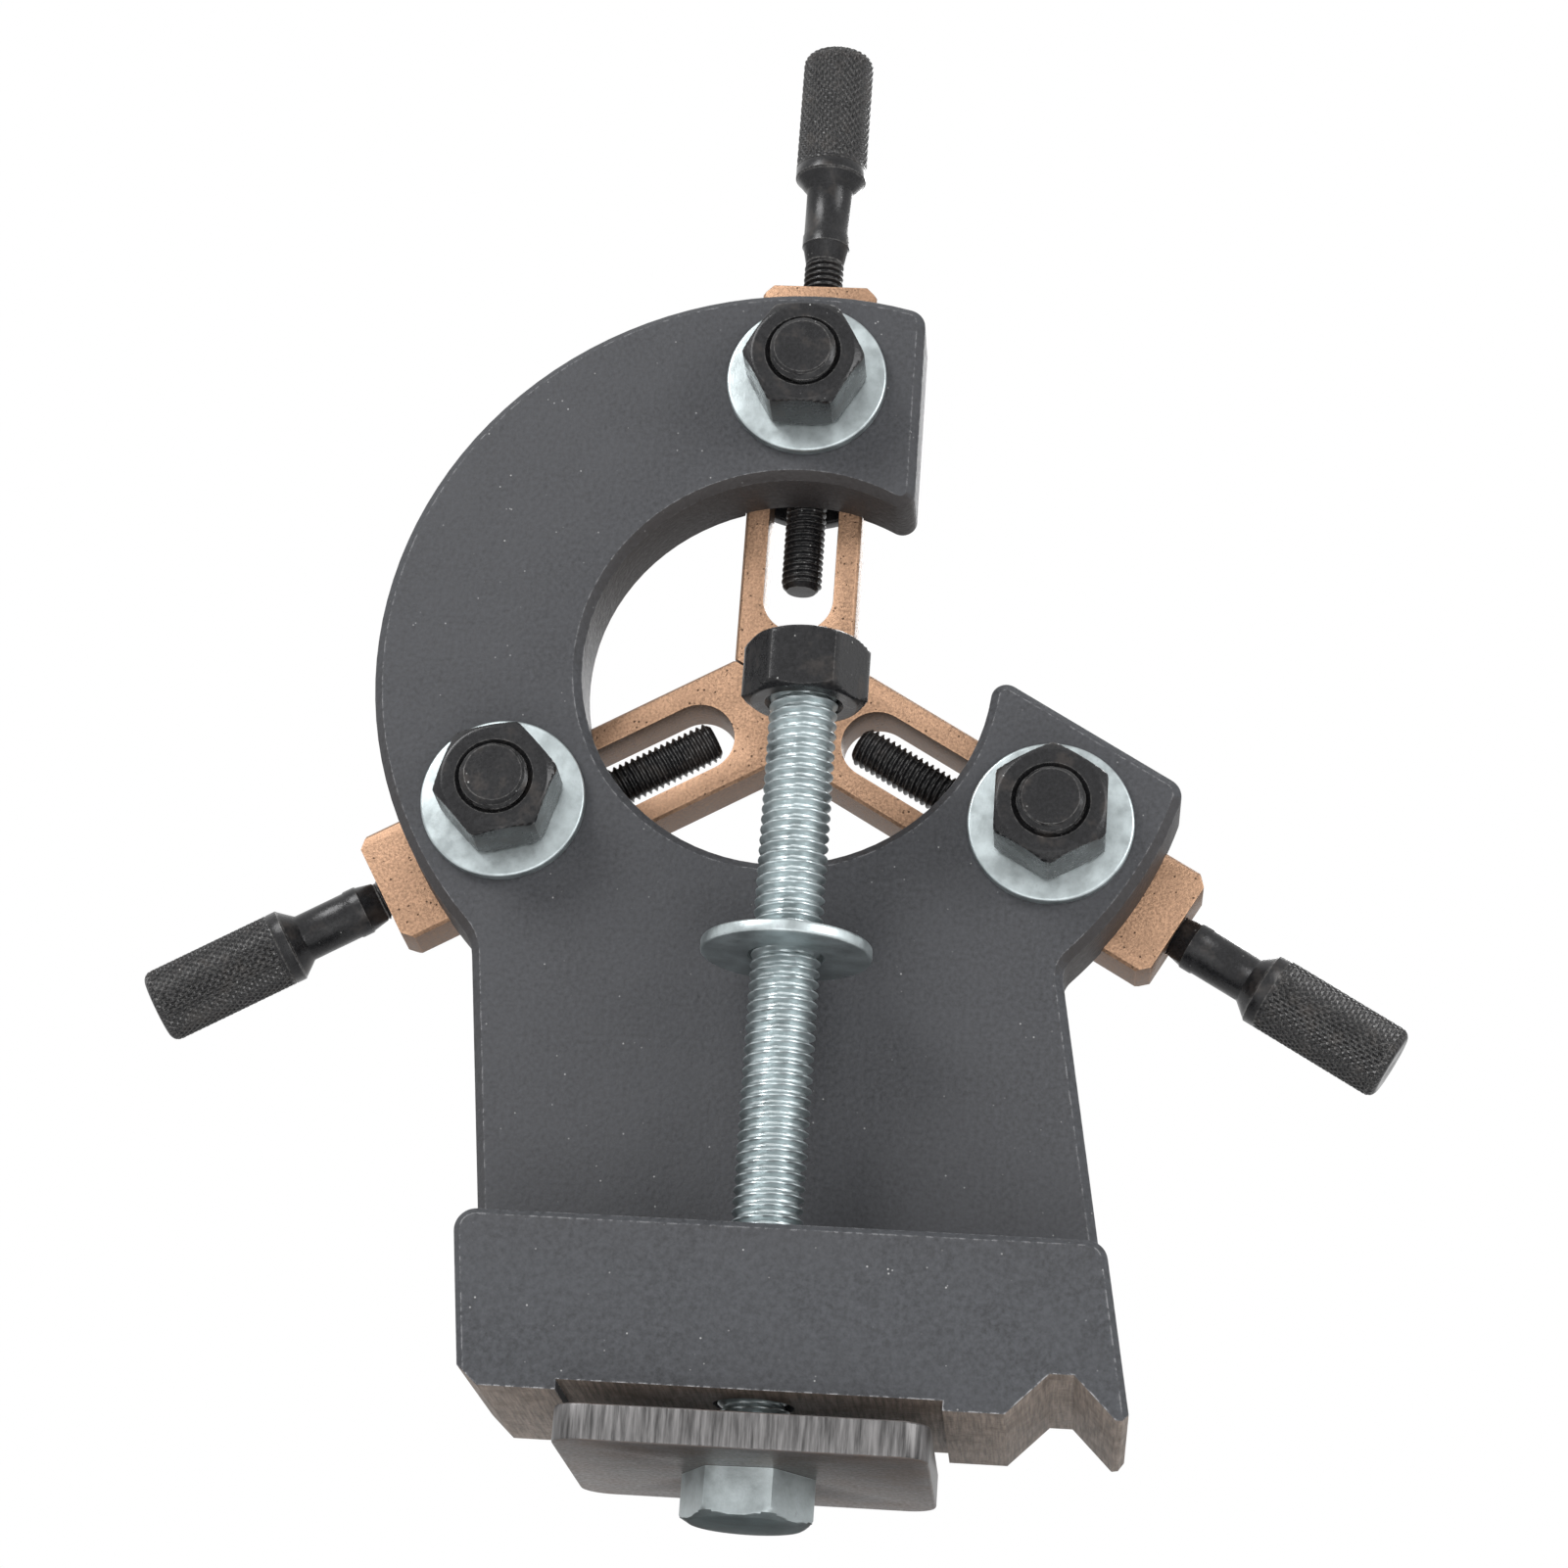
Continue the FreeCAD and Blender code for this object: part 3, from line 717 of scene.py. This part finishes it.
class STEADY_OT_adjusting_screws(bpy.types.Operator):
    """Adjusting screws with cut threads and knurled grips"""

    bl_idname = "steady.adjusting_screws"
    bl_label = "Adjusting screws"

    def execute(self, context):
        sizes = context.scene.steady_rest_sizes
        for name in STATIONS:
            node = "adjusting_screw_" + name
            tip, end = reach(node, name)
            whole = end - tip
            grip_start = whole - GRIP_LENGTH
            shoulder = whole - SHOULDER_FROM_END
            stem = threaded_rod(SCREW_RADIUS, sizes.screw_pitch, 0, shoulder + 0.3 * MM,
                                0, shoulder - 0.1 * MM, 0.7 * MM, columns=48)
            shell = joined([stem, neck_shell(shoulder, grip_start), knurled_grip(grip_start, whole, sizes)])
            piece = put_mesh("knurled_screw_" + name, shell, radial_place(name, tip, SCREW_Y), crease=38)
            finish_piece(piece, finish("black_oxide"), "screw_" + name + "_body", node)
        return {"FINISHED"}


class STEADY_OT_clamp_bolts(bpy.types.Operator):
    """Clamp bolts with threaded front ends"""

    bl_idname = "steady.clamp_bolts"
    bl_label = "Clamp bolts"

    def execute(self, context):
        sizes = context.scene.steady_rest_sizes
        for name in STATIONS:
            node = "clamp_bolt_" + name
            front, back = span(node, 1)
            piece = put_mesh("threaded_bolt_" + name, hex_bolt(back - front, sizes.bolt_pitch, 12 * MM),
                             station_place(name, back))
            finish_piece(piece, finish("black_oxide"), "frame", node)
        return {"FINISHED"}


class STEADY_OT_clamp_hardware(bpy.types.Operator):
    """Nuts and washers of the three clamp bolts"""

    bl_idname = "steady.clamp_hardware"
    bl_label = "Clamp nuts and washers"

    def execute(self, context):
        for name in STATIONS:
            low, high = span("clamp_nut_" + name, 1)
            place = station_place(name, high) @ Matrix.Rotation(math.radians(NUT_TURNS[name]), 4, "Z")
            nut = put_mesh("black_nut_" + name, hex_nut(high - low), place)
            finish_piece(nut, finish("black_oxide"), "nut_" + name + "_body",
                         "clamp_nut_" + name)
            low, high = span("clamp_washer_" + name, 1)
            ring = rounded_ring(WASHER_BORE, WASHER_RADIUS, high - low, 0.35 * MM)
            washer = put_mesh("zinc_washer_" + name, ring, station_place(name, high))
            finish_piece(washer, finish("zinc"), "washer_" + name + "_body", "clamp_washer_" + name)
            low, high = span("clamp_rear_washer_" + name, 1)
            ring = rounded_ring(REAR_WASHER_BORE, REAR_WASHER_RADIUS, high - low, 0.4 * MM)
            rear = put_mesh("rear_washer_" + name, ring, station_place(name, high))
            finish_piece(rear, finish("black_oxide"), "frame", "clamp_rear_washer_" + name)
        return {"FINISHED"}


class STEADY_OT_hold_down(bpy.types.Operator):
    """Hold-down bolt, nut, washer and clamp plate"""

    bl_idname = "steady.hold_down"
    bl_label = "Hold-down"

    def execute(self, context):
        sizes = context.scene.steady_rest_sizes

        def upright(low, turn=0.0):
            return (Matrix.Translation((HOLD_DOWN.x, HOLD_DOWN.y, low))
                    @ Matrix.Rotation(math.radians(turn), 4, "Z"))

        low, high = span("hold_down_bolt", 2)
        shell = hex_bolt(high - low, sizes.bolt_pitch, HEX_HEAD_HEIGHT + 0.5 * MM, under_head=0.03 * MM)
        bolt = put_mesh("zinc_bolt", shell, upright(low, -5))
        finish_piece(bolt, finish("zinc"), "hold_bolt", "hold_down_bolt")
        low, high = span("hold_down_nut", 2)
        nut = put_mesh("black_nut_hold_down", hex_nut(high - low), upright(low))
        finish_piece(nut, finish("black_oxide"), "hold_nut", "hold_down_nut")
        low, high = span("hold_down_washer", 2)
        ring = rounded_ring(WASHER_BORE, WASHER_RADIUS, high - low, 0.35 * MM)
        washer = put_mesh("zinc_washer_hold_down", ring, upright(low))
        finish_piece(washer, finish("zinc"), "hold_washer", "hold_down_washer")
        plate = softened_copy("hold_down_plate", 0.3 * MM, 3, "clamp_plate")
        finish_piece(plate, finish("bare_steel"), "hold_plate", "hold_down_plate")
        return {"FINISHED"}


class STEADY_OT_stage(bpy.types.Operator):
    """Pale floor, soft lamps and the camera"""

    bl_idname = "steady.stage"
    bl_label = "Stage"

    def execute(self, context):
        low, high = (Vector(corner) for corner in CAD_BOX)
        centre = (low + high) / 2
        floor = put_mesh("floor", floor_shell(low.z - 0.0005), Matrix.Identity(4))
        floor.data.materials.append(floor_material())
        floor.visible_shadow = False
        for name, offset, size, power in LAMPS:
            light = bpy.data.lights.new(name, "AREA")
            light.shape = "DISK"
            light.size = size
            light.energy = power
            lamp = bpy.data.objects.new(name, light)
            lamp.location = centre + Vector(offset)
            lamp.rotation_euler = (-Vector(offset)).to_track_quat("-Z", "Y").to_euler()
            context.scene.collection.objects.link(lamp)
        white_world(context.scene)
        camera = bpy.data.objects.new("camera", bpy.data.cameras.new("camera"))
        camera.data.sensor_width = 36.0
        camera.data.lens = CAMERA_LENS
        camera.data.clip_start = 0.01
        camera.location = CAMERA_PLACE
        camera.rotation_euler = Euler([math.radians(a) for a in CAMERA_TURN], "XYZ")
        context.scene.collection.objects.link(camera)
        context.scene.camera = camera
        context.scene.view_settings.view_transform = "Standard"
        return {"FINISHED"}


def floor_shell(height, half=3.0, columns=64):
    """Round floor: a disc at one height."""
    radius = np.stack([np.full(columns, half), np.full(columns, half * 0.2)])
    level = np.full_like(radius, height)
    points = np.stack([radius * np.cos(angles(columns)), radius * np.sin(angles(columns)), level], -1)
    points = np.concatenate([points.reshape(-1, 3), [[0, 0, height]]])
    c = np.arange(columns)
    fan = np.stack([np.full(columns, 2 * columns), columns + c, columns + (c + 1) % columns], -1)
    return points, lattice(2, columns, False), fan


def floor_material():
    """Pale floor that is see-through from underneath."""
    f = Finish("pale floor")
    tone = f.mix(f.ramp(f.noise(40.0, 3.0), 0.3, 0.7), (0.80, 0.80, 0.80), (0.82, 0.82, 0.82))
    f.set(colour=tone, rough=0.7)
    clear = f.node("ShaderNodeBsdfTransparent")
    geometry = f.node("ShaderNodeNewGeometry")
    blend = f.node("ShaderNodeMixShader")
    f.link(geometry.outputs["Backfacing"], blend.inputs[0])
    f.link(f.shader.outputs[0], blend.inputs[1])
    f.link(clear.outputs[0], blend.inputs[2])
    out = [n for n in f.tree.nodes if n.type == "OUTPUT_MATERIAL"][0]
    f.link(blend.outputs[0], out.inputs[0])
    return f.material


def white_world(scene):
    """Soft even light from all round, seen as white by the eye and in reflections."""
    world = scene.world or bpy.data.worlds.new("studio")
    scene.world = world
    world.use_nodes = True
    tree = world.node_tree
    tree.nodes.clear()
    paths = tree.nodes.new("ShaderNodeLightPath")
    seen = paths.outputs["Is Camera Ray"]
    for ray in ("Is Transmission Ray", "Is Glossy Ray"):
        either = tree.nodes.new("ShaderNodeMath")
        either.operation = "MAXIMUM"
        tree.links.new(seen, either.inputs[0])
        tree.links.new(paths.outputs[ray], either.inputs[1])
        seen = either.outputs[0]
    strength = tree.nodes.new("ShaderNodeMapRange")
    tree.links.new(seen, strength.inputs["Value"])
    strength.inputs["To Min"].default_value = 0.42      # what lights the pieces
    strength.inputs["To Max"].default_value = 1.0       # what the eye sees
    sky = tree.nodes.new("ShaderNodeBackground")
    sky.inputs["Color"].default_value = (1.0, 1.0, 1.0, 1.0)
    tree.links.new(strength.outputs[0], sky.inputs["Strength"])
    out = tree.nodes.new("ShaderNodeOutputWorld")
    tree.links.new(sky.outputs[0], out.inputs[0])


class STEADY_PT_panel(bpy.types.Panel):
    """Sizes, colours and pieces of the steady rest"""

    bl_idname = "STEADY_PT_panel"
    bl_label = "Steady rest"
    bl_space_type = "VIEW_3D"
    bl_region_type = "UI"
    bl_category = "Steady rest"

    def draw(self, context):
        for group in (context.scene.steady_rest_sizes, context.scene.steady_rest_colours):
            for key in group.bl_rna.properties.keys():
                if key not in ("rna_type", "name"):
                    self.layout.prop(group, key)
        for operator in OPERATORS:
            self.layout.operator(operator.bl_idname)


OPERATORS = (STEADY_OT_casting, STEADY_OT_fingers, STEADY_OT_adjusting_screws, STEADY_OT_clamp_bolts,
             STEADY_OT_clamp_hardware, STEADY_OT_hold_down, STEADY_OT_stage)
CLASSES = (SteadyRestSizes, SteadyRestColours) + OPERATORS + (STEADY_PT_panel,)


def register():
    for kind in CLASSES:
        bpy.utils.register_class(kind)
    bpy.types.Scene.steady_rest_sizes = bpy.props.PointerProperty(type=SteadyRestSizes)
    bpy.types.Scene.steady_rest_colours = bpy.props.PointerProperty(type=SteadyRestColours)


def unregister():
    del bpy.types.Scene.steady_rest_colours
    del bpy.types.Scene.steady_rest_sizes
    for kind in reversed(CLASSES):
        bpy.utils.unregister_class(kind)


def main():
    register()
    bpy.ops.steady.casting()
    bpy.ops.steady.fingers()
    bpy.ops.steady.adjusting_screws()
    bpy.ops.steady.clamp_bolts()
    bpy.ops.steady.clamp_hardware()
    bpy.ops.steady.hold_down()
    bpy.ops.steady.stage()
    bpy.context.view_layer.update()


if __name__ == "__main__":
    main()
